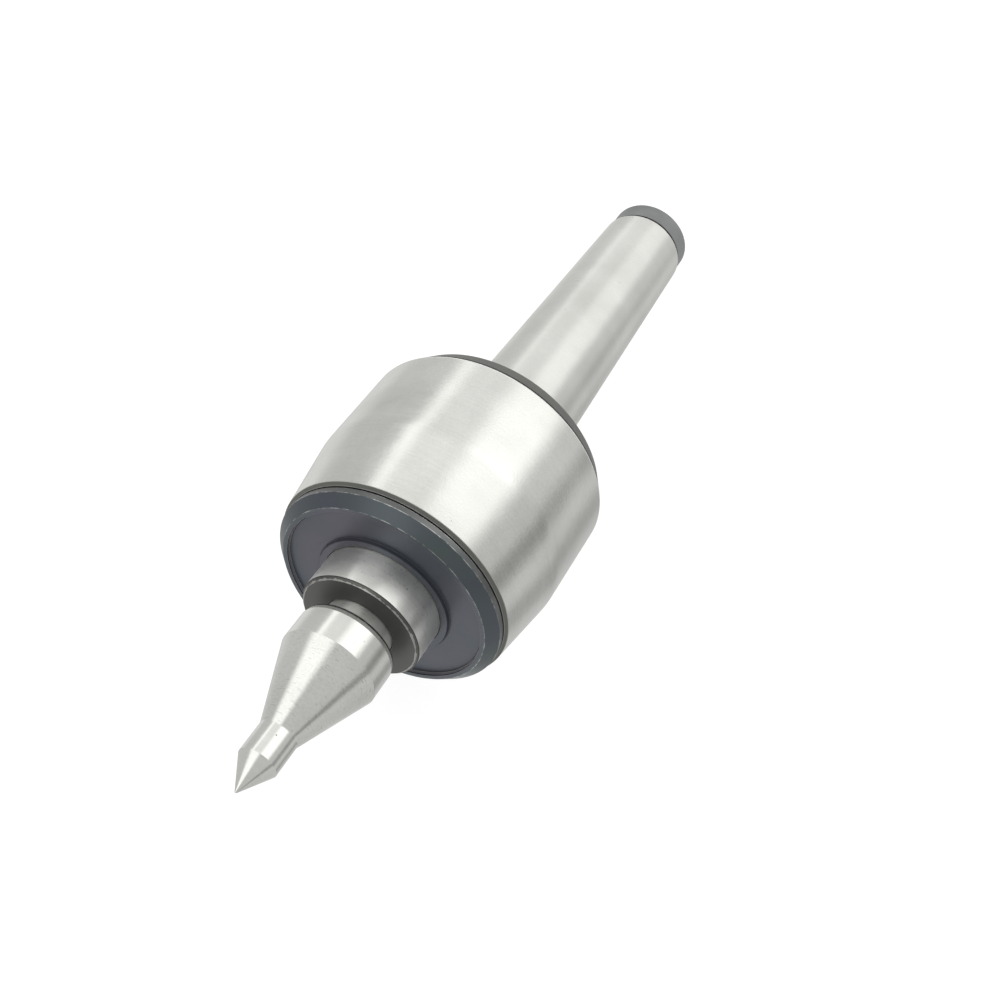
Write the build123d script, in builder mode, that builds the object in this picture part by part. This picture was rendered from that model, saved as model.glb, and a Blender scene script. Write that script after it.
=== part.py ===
from build123d import *
import os
from math import cos, pi, radians, sin, tan

# Live center with interchangeable points, Morse taper No. 4 shank.
# The rotation axis is the X axis and the point looks toward +X.
# The origin is on the axis at the gauge plane of the Morse taper. All sizes are in mm.

# Morse taper No. 4 shank
gauge_diameter = 31.267
taper_ratio = 1 / 19.254
shank_gap = 8.5            # gauge plane to the rear face of the housing
taper_end_x = -96.3        # end of the ground taper
shank_end_x = -104.5       # end of the relieved tail
relief_radius = 12.6
center_hole_radius = 3.0

# Housing body
housing_rear_x = shank_gap
housing_radius = 35.0
rear_chamfer_x = 14.4
rear_face_radius = 31.75
kink_x = 40.8              # the cylinder ends and the front cone starts
front_edge_x = 61.5
front_edge_radius = 32.0
front_face_x = 62.0
thread_radius = 29.0       # M58 x 1.5, drawn as a plain cylinder
thread_end_x = 54.6
front_seat_x = 41.0
front_seat_radius = 27.5
thrust_seat_x = 23.2
thrust_seat_radius = 21.1
needle_seat_radius = 11.0
needle_seat_end_x = -13.0

# Front cover, a threaded ring
cover_rear_x = 62.3
cover_land_x = 64.0
cover_land_radius = 31.1
cover_face_x = 66.7
cover_face_radius = 28.4
recess_radius = 27.2
recess_depth = 1.1
boss_radius = 18.2
cover_bore_radius = 16.45
spigot_end_x = 54.05
spigot_radius = 28.95
seal_pocket_radius = 22.0
seal_pocket_x = 62.0

# Spindle
nose_radius = 16.25
nose_face_x = 77.4
nose_chamfer = 0.8
journal_radius = 15.0
journal_front_x = 54.0
thrust_shoulder_x = 36.0
thrust_journal_radius = 12.5
tail_start_x = 24.6
tail_radius = 8.0
tail_end_x = -11.5

# Point and its 1 : 10 taper
point_taper = 0.05
mouth_radius = 9.0
taper_fit = 0.02
point_taper_end_x = 47.5
point_shank_end_x = 42.5
point_relief_radius = 6.9
head_rear_x = 82.0
head_rear_radius = 12.2
head_radius = 12.7
head_edge_x = 83.1
head_cone_x = 91.2
neck_radius = 5.0
neck_x = 111.6
nose_cone_x = 119.9
tip_radius = 0.35

# Front deep groove ball bearing, 30 x 55 x 13
ball_pitch = 21.25
ball_radius = 3.57
ball_count = 11
ball_groove = 3.62
ring_width = 13.0

# Thrust ball bearing, 25 x 42 x 11
thrust_pitch = 17.0
thrust_ball_radius = 3.17
thrust_ball_count = 14
thrust_middle_x = 30.5
washer_thickness = 3.0

# Rear drawn cup needle roller bearing, 16 x 22 x 16
needle_radius = 0.99
needle_pitch = 9.0
needle_count = 18
needle_length = 11.8
needle_front_x = 7.0
needle_width = 16.0

os.makedirs("parts", exist_ok=True)


# Housing with the Morse taper shank in one piece
root_radius = gauge_diameter / 2 + shank_gap * taper_ratio / 2
end_radius = gauge_diameter / 2 + taper_end_x * taper_ratio / 2
with BuildPart() as housing:
    with BuildSketch(Plane.XZ):
        with BuildLine():
            Polyline(
                (shank_end_x, 0),
                (shank_end_x, relief_radius - 0.6),
                (shank_end_x + 0.6, relief_radius),
                (taper_end_x - 0.1, relief_radius),
                (taper_end_x, end_radius - 0.2),
                (taper_end_x + 0.25, end_radius),
                (housing_rear_x - 1.4, root_radius - 0.04),
                (housing_rear_x - 1.2, root_radius - 0.3),
                (housing_rear_x, root_radius - 0.3),
                (housing_rear_x, rear_face_radius),
                (rear_chamfer_x, housing_radius),
                (kink_x, housing_radius),
                (front_edge_x, front_edge_radius),
                (front_face_x, front_edge_radius - 0.5),
                (front_face_x, thread_radius + 0.35),
                (front_face_x - 0.35, thread_radius),
                (thread_end_x + 1.4, thread_radius),
                (thread_end_x + 1.4, thread_radius + 0.3),
                (thread_end_x, thread_radius + 0.3),
                (thread_end_x, front_seat_radius + 0.4),
                (thread_end_x - 0.4, front_seat_radius),
                (front_seat_x, front_seat_radius),
                (front_seat_x, thrust_seat_radius + 0.4),
                (front_seat_x - 0.4, thrust_seat_radius),
                (thrust_seat_x, thrust_seat_radius),
                (thrust_seat_x, needle_seat_radius + 0.4),
                (thrust_seat_x - 0.4, needle_seat_radius),
                (needle_seat_end_x, needle_seat_radius),
                (needle_seat_end_x - 3.0, needle_seat_radius - 5.5),
                (needle_seat_end_x - 6.0, 0),
                close=True,
            )
        make_face()
    revolve(axis=Axis.X)
    with Locations(Plane(origin=(shank_end_x, 0, 0), z_dir=(-1, 0, 0))):
        CounterSinkHole(radius=center_hole_radius / 2, counter_sink_radius=center_hole_radius,
                        depth=6.0, counter_sink_angle=60)
housing.part.label = "housing"
export_step(housing.part, "parts/housing.step")


# Front cover: a threaded ring with a shallow recess and a boss round the spindle
with BuildPart() as front_cover:
    with BuildSketch(Plane.XZ):
        with BuildLine():
            Polyline(
                (cover_rear_x, spigot_radius),
                (cover_rear_x, cover_land_radius - 0.15),
                (cover_rear_x + 0.15, cover_land_radius),
                (cover_land_x, cover_land_radius),
                (cover_face_x, cover_face_radius),
                (cover_face_x, recess_radius),
                (cover_face_x - recess_depth, recess_radius - 0.1),
                (cover_face_x - recess_depth, boss_radius + 0.1),
                (cover_face_x, boss_radius),
                (cover_face_x, cover_bore_radius),
                (seal_pocket_x, cover_bore_radius),
                (seal_pocket_x, seal_pocket_radius),
                (spigot_end_x + 0.6, seal_pocket_radius),
                (spigot_end_x, seal_pocket_radius + 0.6),
                (spigot_end_x, 27.0),
                (spigot_end_x + 0.5, 27.4),
                (spigot_end_x + 1.0, 27.4),
                (spigot_end_x + 1.0, spigot_radius - 0.5),
                (spigot_end_x + 1.5, spigot_radius),
                (59.4, spigot_radius),
                (59.4, 27.4),
                (61.5, 27.4),
                (61.5, spigot_radius),
                close=True,
            )
        make_face()
    revolve(axis=Axis.X)
front_cover.part.label = "front_cover"
export_step(front_cover.part, "parts/front_cover.step")


# O-ring between the cover and the housing
with BuildPart() as cover_o_ring:
    with BuildSketch(Plane.XZ):
        with Locations((60.45, 28.2)):
            Circle(0.79)
    revolve(axis=Axis.X)
cover_o_ring.part.label = "cover_o_ring"
export_step(cover_o_ring.part, "parts/cover_o_ring.step")


# Rubber lip seal, pressed in the cover, 32 x 44 x 6
seal_front_x = 61.9
with BuildPart() as spindle_seal:
    with BuildSketch(Plane.XZ):
        with BuildLine():
            Polyline(
                (seal_front_x, 17.1),
                (seal_front_x, seal_pocket_radius - 0.3),
                (seal_front_x - 0.3, seal_pocket_radius - 0.01),
                (seal_front_x - 5.7, seal_pocket_radius - 0.01),
                (seal_front_x - 6.0, seal_pocket_radius - 0.3),
                (seal_front_x - 6.0, seal_pocket_radius - 1.0),
                (seal_front_x - 1.6, seal_pocket_radius - 1.0),
                (seal_front_x - 1.6, 18.2),
                (seal_front_x - 3.2, 17.6),
                (seal_front_x - 3.5, 18.15),
                (seal_front_x - 5.1, 18.15),
                (seal_front_x - 5.1, 17.1),
                (seal_front_x - 4.3, nose_radius + 0.03),
                (seal_front_x - 3.9, nose_radius + 0.03),
                close=True,
            )
        make_face()
    revolve(axis=Axis.X)
spindle_seal.part.label = "spindle_seal"
export_step(spindle_seal.part, "parts/spindle_seal.step")


# Garter spring that holds the seal lip on the spindle
with BuildPart() as seal_garter_spring:
    with BuildSketch(Plane.XZ):
        with Locations((seal_front_x - 4.3, 18.72)):
            Circle(0.55)
    revolve(axis=Axis.X)
seal_garter_spring.part.label = "seal_garter_spring"
export_step(seal_garter_spring.part, "parts/seal_garter_spring.step")


# Front ball bearing, outer ring
ring_middle_x = front_seat_x + ring_width / 2
with BuildPart() as front_bearing_outer_ring:
    with BuildSketch(Plane.XZ):
        with Locations((ring_middle_x, 25.7)):
            Rectangle(ring_width, 3.6)
        with Locations((ring_middle_x, ball_pitch)):
            Circle(ball_groove, mode=Mode.SUBTRACT)
        for side in (-1, 1):
            with Locations((ring_middle_x + side * 5.6, 23.9)):
                Rectangle(0.5, 1.2, mode=Mode.SUBTRACT)
    revolve(axis=Axis.X)
    outer_corners = front_bearing_outer_ring.edges().filter_by(GeomType.CIRCLE).group_by(SortBy.RADIUS)[-1]
    fillet(outer_corners, radius=0.9)
front_bearing_outer_ring.part.label = "front_bearing_outer_ring"
export_step(front_bearing_outer_ring.part, "parts/front_bearing_outer_ring.step")


# Front ball bearing, inner ring
with BuildPart() as front_bearing_inner_ring:
    with BuildSketch(Plane.XZ):
        with Locations((ring_middle_x, 16.8)):
            Rectangle(ring_width, 3.6)
        with Locations((ring_middle_x, ball_pitch)):
            Circle(ball_groove, mode=Mode.SUBTRACT)
    revolve(axis=Axis.X)
    ring_edges = front_bearing_inner_ring.edges().filter_by(GeomType.CIRCLE)
    bore_corners = ring_edges.filter_by(lambda edge: abs(edge.radius - journal_radius) < 0.01)
    fillet(bore_corners, radius=0.9)
front_bearing_inner_ring.part.label = "front_bearing_inner_ring"
export_step(front_bearing_inner_ring.part, "parts/front_bearing_inner_ring.step")


# Front ball bearing, eleven balls
with BuildPart() as front_bearing_balls:
    for number in range(ball_count):
        angle = 2 * pi * number / ball_count
        with Locations((ring_middle_x, ball_pitch * cos(angle), ball_pitch * sin(angle))):
            Sphere(ball_radius)
front_bearing_balls.part.label = "front_bearing_balls"
export_step(front_bearing_balls.part, "parts/front_bearing_balls.step")


# Front ball bearing, cage with round pockets
with BuildPart() as front_bearing_cage:
    with BuildSketch(Plane.XZ):
        with Locations((ring_middle_x, ball_pitch)):
            Rectangle(9.2, 2.2)
    revolve(axis=Axis.X)
    for number in range(ball_count):
        angle = 2 * pi * number / ball_count
        with Locations((ring_middle_x, ball_pitch * cos(angle), ball_pitch * sin(angle))):
            Sphere(ball_radius + 0.12, mode=Mode.SUBTRACT)
front_bearing_cage.part.label = "front_bearing_cage"
export_step(front_bearing_cage.part, "parts/front_bearing_cage.step")


# Front ball bearing, two sheet metal shields
with BuildPart() as front_bearing_shields:
    with BuildSketch(Plane.XZ):
        for side in (-1, 1):
            with Locations((ring_middle_x + side * 5.6, 21.65)):
                Rectangle(0.4, 5.5)
    revolve(axis=Axis.X)
front_bearing_shields.part.label = "front_bearing_shields"
export_step(front_bearing_shields.part, "parts/front_bearing_shields.step")


# Retaining ring behind the inner ring, open on one side, with two ears
ring_groove_radius = 14.3
clip_thickness = 1.45
clip_x = front_seat_x - 0.03
with BuildPart() as spindle_retaining_ring:
    with BuildSketch(Plane.YZ.offset(clip_x - clip_thickness)):
        Circle(17.0)
        with Locations((0, 16.4)):
            SlotOverall(9.0, 4.2)
        Circle(ring_groove_radius + 0.05, mode=Mode.SUBTRACT)
        with Locations((0, 16.0)):
            Rectangle(3.2, 8.0, mode=Mode.SUBTRACT)
        with Locations((-3.0, 16.5), (3.0, 16.5)):
            Circle(0.9, mode=Mode.SUBTRACT)
    extrude(amount=clip_thickness)
spindle_retaining_ring.part.label = "spindle_retaining_ring"
export_step(spindle_retaining_ring.part, "parts/spindle_retaining_ring.step")


# Thrust ball bearing, washer on the spindle shoulder
with BuildPart() as thrust_shaft_washer:
    with BuildSketch(Plane.XZ):
        with Locations((thrust_middle_x + 4.0, 16.7)):
            Rectangle(washer_thickness, 8.4)
        with Locations((thrust_middle_x, thrust_pitch)):
            Circle(thrust_ball_radius + 0.03, mode=Mode.SUBTRACT)
    revolve(axis=Axis.X)
    washer_rims = thrust_shaft_washer.edges().filter_by(GeomType.CIRCLE).group_by(SortBy.RADIUS)[-1]
    fillet(washer_rims, radius=0.5)
thrust_shaft_washer.part.label = "thrust_shaft_washer"
export_step(thrust_shaft_washer.part, "parts/thrust_shaft_washer.step")


# Thrust ball bearing, washer seated in the housing
with BuildPart() as thrust_housing_washer:
    with BuildSketch(Plane.XZ):
        with Locations((thrust_middle_x - 4.0, 17.0)):
            Rectangle(washer_thickness, 8.1)
        with Locations((thrust_middle_x, thrust_pitch)):
            Circle(thrust_ball_radius + 0.03, mode=Mode.SUBTRACT)
    revolve(axis=Axis.X)
    washer_rims = thrust_housing_washer.edges().filter_by(GeomType.CIRCLE).group_by(SortBy.RADIUS)[-1]
    fillet(washer_rims, radius=0.5)
thrust_housing_washer.part.label = "thrust_housing_washer"
export_step(thrust_housing_washer.part, "parts/thrust_housing_washer.step")


# Thrust ball bearing, fourteen balls
with BuildPart() as thrust_balls:
    for number in range(thrust_ball_count):
        angle = 2 * pi * number / thrust_ball_count
        with Locations((thrust_middle_x, thrust_pitch * cos(angle), thrust_pitch * sin(angle))):
            Sphere(thrust_ball_radius)
thrust_balls.part.label = "thrust_balls"
export_step(thrust_balls.part, "parts/thrust_balls.step")


# Thrust ball bearing, flat cage
thrust_cage_thickness = 2.8
with BuildPart() as thrust_cage:
    with BuildSketch(Plane.YZ.offset(thrust_middle_x - thrust_cage_thickness / 2)):
        Circle(20.8)
        Circle(13.2, mode=Mode.SUBTRACT)
        with PolarLocations(thrust_pitch, thrust_ball_count):
            Circle(thrust_ball_radius + 0.12, mode=Mode.SUBTRACT)
    extrude(amount=thrust_cage_thickness)
thrust_cage.part.label = "thrust_cage"
export_step(thrust_cage.part, "parts/thrust_cage.step")


# Cup spring under the thrust bearing, takes up heat growth of the workpiece
with BuildPart() as thrust_cup_spring:
    with BuildSketch(Plane.XZ):
        with BuildLine():
            Polyline(
                (24.1, 14.2),
                (24.97, 14.2),
                (24.07, 20.9),
                (23.22, 20.9),
                close=True,
            )
        make_face()
    revolve(axis=Axis.X)
thrust_cup_spring.part.label = "thrust_cup_spring"
export_step(thrust_cup_spring.part, "parts/thrust_cup_spring.step")


# Needle roller bearing, drawn steel cup with turned-in lips
needle_rear_x = needle_front_x - needle_width
with BuildPart() as needle_bearing_cup:
    with BuildSketch(Plane.XZ):
        with BuildLine():
            Polyline(
                (needle_rear_x, 8.9),
                (needle_rear_x, 10.3),
                (needle_rear_x + 0.7, needle_seat_radius - 0.01),
                (needle_front_x - 0.7, needle_seat_radius - 0.01),
                (needle_front_x, 10.3),
                (needle_front_x, 8.9),
                (needle_front_x - 0.7, 8.9),
                (needle_front_x - 0.7, 10.0),
                (needle_rear_x + 0.7, 10.0),
                (needle_rear_x + 0.7, 8.9),
                close=True,
            )
        make_face()
    revolve(axis=Axis.X)
needle_bearing_cup.part.label = "needle_bearing_cup"
export_step(needle_bearing_cup.part, "parts/needle_bearing_cup.step")


# Needle roller bearing, eighteen needles
needle_middle_x = needle_front_x - needle_width / 2
with BuildPart() as needle_rollers:
    with BuildSketch(Plane.YZ.offset(needle_middle_x - needle_length / 2)):
        with PolarLocations(needle_pitch, needle_count):
            Circle(needle_radius)
    extrude(amount=needle_length)
    chamfer(needle_rollers.edges().filter_by(GeomType.CIRCLE), length=0.15)
needle_rollers.part.label = "needle_rollers"
export_step(needle_rollers.part, "parts/needle_rollers.step")


# Needle roller bearing, cage with one window for each needle
cage_length = 14.2
with BuildPart() as needle_cage:
    with BuildSketch(Plane.YZ.offset(needle_middle_x - cage_length / 2)):
        Circle(9.55)
        Circle(8.45, mode=Mode.SUBTRACT)
    extrude(amount=cage_length)
    with BuildSketch(Plane.YZ.offset(needle_middle_x - needle_length / 2 - 0.1)):
        with PolarLocations(needle_pitch, needle_count):
            Circle(needle_radius + 0.08)
    extrude(amount=needle_length + 0.2, mode=Mode.SUBTRACT)
needle_cage.part.label = "needle_cage"
export_step(needle_cage.part, "parts/needle_cage.step")


# Spindle with the taper socket for the point
socket_end_x = point_taper_end_x - 1.0
socket_end_radius = mouth_radius + taper_fit - (nose_face_x - socket_end_x) * point_taper
with BuildPart() as spindle:
    with BuildSketch(Plane.XZ):
        with BuildLine():
            Polyline(
                (tail_end_x, 0),
                (tail_end_x, tail_radius - 0.8),
                (tail_end_x + 0.8, tail_radius),
                (tail_start_x, tail_radius),
                (tail_start_x, thrust_journal_radius - 0.5),
                (tail_start_x + 0.5, thrust_journal_radius),
                (thrust_shoulder_x, thrust_journal_radius),
                (thrust_shoulder_x, journal_radius - 0.4),
                (thrust_shoulder_x + 0.4, journal_radius),
                (clip_x - clip_thickness - 0.03, journal_radius),
                (clip_x - clip_thickness - 0.03, ring_groove_radius),
                (clip_x + 0.03, ring_groove_radius),
                (clip_x + 0.03, journal_radius),
                (journal_front_x, journal_radius),
                (journal_front_x, nose_radius - 0.3),
                (journal_front_x + 0.3, nose_radius),
                (nose_face_x - nose_chamfer, nose_radius),
                (nose_face_x, nose_radius - nose_chamfer),
                (nose_face_x, mouth_radius + taper_fit + 0.3),
                (nose_face_x - 0.3, mouth_radius + taper_fit - 0.3 * point_taper),
                (socket_end_x, socket_end_radius),
                (socket_end_x, socket_end_radius + 0.3),
                (socket_end_x - 6.5, socket_end_radius + 0.3),
                (socket_end_x - 6.5 - socket_end_radius * 0.6, 0),
                close=True,
            )
        make_face()
    revolve(axis=Axis.X)
spindle.part.label = "spindle"
export_step(spindle.part, "parts/spindle.step")


# Interchangeable point: taper shank, head, long cone, short cylinder and 60 degree point
shank_small_radius = mouth_radius - (nose_face_x - point_taper_end_x) * point_taper
shank_large_radius = mouth_radius + (head_rear_x - nose_face_x) * point_taper
cone_length = neck_radius / tan(radians(30))
tip_center_x = nose_cone_x + cone_length - tip_radius / sin(radians(30))
tip_touch_x = tip_center_x + tip_radius * sin(radians(30))
tip_touch_radius = tip_radius * cos(radians(30))
with BuildPart() as center_point:
    with BuildSketch(Plane.XZ):
        with BuildLine():
            Polyline(
                (tip_center_x + tip_radius, 0),
                (point_shank_end_x, 0),
                (point_shank_end_x, point_relief_radius - 0.5),
                (point_shank_end_x + 0.5, point_relief_radius),
                (point_taper_end_x, point_relief_radius),
                (point_taper_end_x, shank_small_radius - 0.2),
                (point_taper_end_x + 0.2, shank_small_radius),
                (head_rear_x - 0.25, shank_large_radius),
                (head_rear_x, shank_large_radius + 0.25),
                (head_rear_x, head_rear_radius),
                (head_edge_x, head_radius),
                (head_cone_x, head_radius),
                (neck_x, neck_radius),
                (nose_cone_x, neck_radius),
                (tip_touch_x, tip_touch_radius),
            )
            RadiusArc((tip_touch_x, tip_touch_radius), (tip_center_x + tip_radius, 0), tip_radius)
        make_face()
    revolve(axis=Axis.X)
center_point.part.label = "center_point"
export_step(center_point.part, "parts/center_point.step")
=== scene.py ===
from math import cos, pi, radians, sin

import bpy
import numpy as np
from mathutils import Matrix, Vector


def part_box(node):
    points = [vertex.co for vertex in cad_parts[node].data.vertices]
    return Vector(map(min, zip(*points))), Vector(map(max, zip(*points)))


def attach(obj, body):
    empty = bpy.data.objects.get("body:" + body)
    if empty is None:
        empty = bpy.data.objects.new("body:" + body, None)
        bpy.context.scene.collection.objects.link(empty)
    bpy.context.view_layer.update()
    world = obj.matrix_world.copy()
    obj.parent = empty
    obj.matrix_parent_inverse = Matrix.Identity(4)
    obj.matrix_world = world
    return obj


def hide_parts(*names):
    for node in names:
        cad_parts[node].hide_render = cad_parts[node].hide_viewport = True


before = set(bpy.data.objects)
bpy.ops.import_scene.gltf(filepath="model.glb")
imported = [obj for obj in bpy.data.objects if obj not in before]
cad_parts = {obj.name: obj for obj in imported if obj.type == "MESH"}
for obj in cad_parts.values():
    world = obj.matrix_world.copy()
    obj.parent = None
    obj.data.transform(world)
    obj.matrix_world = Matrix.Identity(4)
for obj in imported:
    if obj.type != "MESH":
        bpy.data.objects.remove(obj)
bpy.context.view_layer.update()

# ---------------------------------------------------------------- Housing with its Morse taper shank
# One piece of case-hardened steel, turned from bar, hardened and then ground on the barrel, the
# front cone and the Morse taper. The rear chamfer and the relieved tail stay as they were turned,
# under a dark scale. The bores behind the cover are finely bored for the bearings and the thread.
mm = 0.001
low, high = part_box("housing")
shank_end, housing_front, barrel_radius = low.x / mm, high.x / mm, high.z / mm
gauge_radius, taper_slope = 31.267 / 2, 1 / 19.254 / 2
housing_rear, rear_face_radius, barrel_rear = 8.5, 31.75, 14.4
barrel_front, front_edge_radius = 40.8, 32.0
taper_end, tail_radius = -96.3, 12.6
thread_radius, thread_relief, thread_pitch, thread_depth = 29.0, 54.6, 1.5, 0.85
front_seat, front_seat_radius = 41.0, 27.5
thrust_seat, thrust_seat_radius = 23.2, 21.1
needle_seat_end, needle_seat_radius = -13.0, 11.0
GROUND, TAPER, SCALE, BORED, SHADE_LINE, LIT_EDGE, TAIL = range(7)


def eased(corners, closed, reach=2.0, guard=0.03, arc_steps=4):
    """A turned outline with every corner eased by an arc tangent to both of its sides.

    Each corner is (x, radius, ease, finish of the side that leaves it). The arc of radius e at a
    turn of angle a starts e * tan(a / 2) before the corner, and a point on it is that start plus
    e * (sin of the angle gone) along the side, plus e * (1 - cos of it) towards the arc's centre.
    Returns the points, how far each is from the nearest true corner, and each point's finish.
    """
    corners = np.array(corners, float)
    place, ease, finish = corners[:, :2], corners[:, 2].copy(), corners[:, 3].astype(int)
    if not closed:
        ease[[0, -1]] = 0
    ahead = np.roll(place, -1, 0) - place
    length = np.linalg.norm(ahead, axis=1)
    leaving = ahead / length[:, None]
    coming = np.roll(leaving, 1, 0)
    cosine = np.clip((leaving * coming).sum(1), -1, 1)
    turn = np.arccos(cosine)
    trim = ease * np.tan(turn / 2)
    inward = (leaving - coming * cosine[:, None]) / np.maximum(np.sin(turn), 1e-9)[:, None]
    gone = turn[:, None] * np.linspace(0, 1, arc_steps + 1)
    arc = (place - coming * trim[:, None])[:, None] + ease[:, None, None] * (
        np.sin(gone)[..., None] * coming[:, None] + (1 - np.cos(gone))[..., None] * inward[:, None])
    straight = np.maximum(length - trim - np.roll(trim, -1), 0)
    near, far = np.minimum(guard, straight / 4), np.minimum(reach, straight / 2)
    along = np.stack([near, far, straight / 2, straight - far, straight - near], 1)
    side = (place + leaving * trim[:, None])[:, None] + leaving[:, None] * along[..., None]
    points = np.concatenate([arc, side], 1)
    flat = np.where(turn < 0.02, 9.0, 0.0)[:, None]
    gap = np.concatenate([np.zeros(gone.shape) + flat,
                          np.minimum(along + flat, straight[:, None] - along + np.roll(flat, -1, 0))], 1)
    labels = np.repeat(finish[:, None], points.shape[1], 1)
    if not closed:
        points[-1, 1:], gap[-1, 1:] = points[-1, 0], gap[-1, 0]
    points, gap, labels = points.reshape(-1, 2), gap.ravel(), labels.ravel()
    apart = np.linalg.norm(points - np.roll(points, 1, 0), axis=1) > 1e-4
    apart[0] = apart[0] or not closed
    return points[apart], gap[apart], labels[apart]


def turned(name, corners, closed=True, around=256, thread=None, **easing):
    """A solid turned about the X axis from a clockwise outline in millimetres.

    The surface has two parameters, the way s along the outline and the angle t round the axis,
    and its point is (x(s), r(s) cos t, r(s) sin t). A thread (from, to, radius, pitch, depth)
    cuts a wave into r where the outline has that radius: its phase is x / pitch less t / 2 pi.
    """
    points, gap, labels = eased(corners, closed, **easing)
    if thread:
        start, stop, crest, pitch, depth = thread
        rings = np.linspace(start, stop, int((stop - start) / pitch * 10) + 1)[1:-1]
        on_crest = (np.abs(points[:, 1] - crest) < 0.02) & (points[:, 0] > start) & (points[:, 0] < stop)
        points, gap, labels = points[~on_crest], gap[~on_crest], labels[~on_crest]
        rising = np.flatnonzero((points[:, 0] <= start + 1e-6) & (np.abs(points[:, 1] - crest) < 0.02))
        falling = np.flatnonzero((points[:, 0] >= stop - 1e-6) & (np.abs(points[:, 1] - crest) < 0.02))
        forward = rising.max() < falling.min()
        rings = rings if forward else rings[::-1]
        at = (rising.max() if forward else falling.max()) + 1
        points = np.insert(points, at, np.stack([rings, np.full(len(rings), crest)], 1), 0)
        gap = np.insert(gap, at, np.full(len(rings), 9.0))
        labels = np.insert(labels, at, np.full(len(rings), labels[at - 1]))
    x, r = points.T
    step = np.hypot(np.diff(x, prepend=x[0]), np.diff(r, prepend=r[0]))
    way = np.cumsum(step)
    t = np.linspace(0, 2 * pi, around, endpoint=False)
    radius = np.repeat(r[:, None], around, 1)
    if thread:
        on = (np.abs(x - (start + stop) / 2) < (stop - start) / 2 - 1e-6) & (np.abs(r - crest) < 0.02)
        wave = np.abs((x[:, None] / pitch - t / (2 * pi)) % 1 - 0.5) * 2
        fade = np.clip(np.minimum(x - start, stop - x) / pitch, 0, 1)[:, None]
        radius -= np.where(on[:, None], depth * fade * np.clip(1.25 * wave - 0.125, 0, 1), 0)
    grid = np.stack([np.repeat(x[:, None], around, 1), radius * np.cos(t), radius * np.sin(t)], 2)
    rows = len(x)
    number = np.arange(rows * around).reshape(rows, around)
    this, after = (number, np.roll(number, -1, 0)) if closed else (number[1:-2], number[2:-1])
    quads = np.stack([this, np.roll(this, -1, 1), np.roll(after, -1, 1), after], 2).reshape(-1, 4)
    quad_finish = np.repeat(labels if closed else labels[1:-2], around)
    if closed:
        vertices, spread = grid.reshape(-1, 3), lambda values: np.repeat(values, around)
        faces, finish = quads.tolist(), quad_finish
    else:
        vertices = np.concatenate([grid[0, :1], grid[1:-1].reshape(-1, 3), grid[-1, :1]])
        quads = quads - around + 1
        first, last, tip = number[1] - around + 1, number[-2] - around + 1, len(vertices) - 1
        start_fan = np.stack([np.zeros(around, int), np.roll(first, -1), first], 1)
        end_fan = np.stack([np.full(around, tip), last, np.roll(last, -1)], 1)
        faces = quads.tolist() + start_fan.tolist() + end_fan.tolist()
        finish = np.concatenate([quad_finish, np.full(around, labels[0]), np.full(around, labels[-2])])

        def spread(values):
            return np.concatenate([values[:1], np.repeat(values[1:-1], around), values[-1:]])

    mesh = bpy.data.meshes.new(name)
    mesh.from_pydata((vertices * mm).tolist(), [], faces)
    mesh.polygons.foreach_set("material_index", finish.astype(np.int32))
    mesh.attributes.new("way", "FLOAT", "POINT").data.foreach_set("value", spread(way).astype(np.float32))
    mesh.attributes.new("edge", "FLOAT", "POINT").data.foreach_set("value", spread(gap).astype(np.float32))
    mesh.shade_smooth()
    mesh.update()
    piece = bpy.data.objects.new(name, mesh)
    bpy.context.scene.collection.objects.link(piece)
    return piece


def node(tree, kind, inputs=None, **options):
    """Adds one shader node and returns its outputs. An input takes a value or another output."""
    made = tree.nodes.new("ShaderNode" + kind)
    for option, value in options.items():
        setattr(made, option, value)
    for place, value in (inputs or {}).items():
        if isinstance(value, bpy.types.NodeSocket):
            tree.links.new(value, made.inputs[place])
        else:
            made.inputs[place].default_value = value
    return made.outputs


def maths(tree, operation, first, second=0.0, third=0.0):
    """One sum on two or three numbers or outputs."""
    return node(tree, "Math", {0: first, 1: second, 2: third}, operation=operation)[0]


def effect(name, inputs, results):
    """An empty shader node group with named number inputs and outputs."""
    tree = bpy.data.node_groups.new(name, "ShaderNodeTree")
    for label, value in inputs.items():
        socket = tree.interface.new_socket(label, in_out="INPUT", socket_type="NodeSocketFloat")
        socket.default_value = value
    for label in results:
        tree.interface.new_socket(label, in_out="OUTPUT", socket_type="NodeSocketFloat")
    given = tree.nodes.new("NodeGroupInput").outputs
    result = tree.nodes.new("NodeGroupOutput").inputs
    return tree, given, result


def use(tree, group, inputs=None):
    """Places an effect in a material with its own values and returns its outputs."""
    made = tree.nodes.new("ShaderNodeGroup")
    made.node_tree = group
    for label, value in (inputs or {}).items():
        if isinstance(value, bpy.types.NodeSocket):
            tree.links.new(value, made.inputs[label])
        else:
            made.inputs[label].default_value = value
    return made.outputs


# Grinding: fine rings left by the wheel, which follow the way along the outline and run out
# slowly round the axis, a fine grain, and the slow waviness of a wheel-ground face.
grinding, given, result = effect(
    "grinding", {"Ring Width": 0.25, "Ring Length": 14.0, "Ring Depth": 0.0005, "Grain Size": 0.45,
                 "Grain Depth": 0.0005, "Wave Size": 14.0, "Wave Depth": 0.01}, ("Height", "Tone", "Scores"))
place = node(grinding, "TexCoord")["Object"]
way = node(grinding, "Attribute", attribute_name="way")["Fac"]
ring_place = node(grinding, "SeparateXYZ", {0: place})
ring_run = maths(grinding, "DIVIDE", 1.0 / mm, given["Ring Length"])
ring_vector = node(grinding, "CombineXYZ", {
    0: maths(grinding, "DIVIDE", way, given["Ring Width"]),
    1: maths(grinding, "MULTIPLY", ring_place[1], ring_run),
    2: maths(grinding, "MULTIPLY", ring_place[2], ring_run)})[0]
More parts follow.
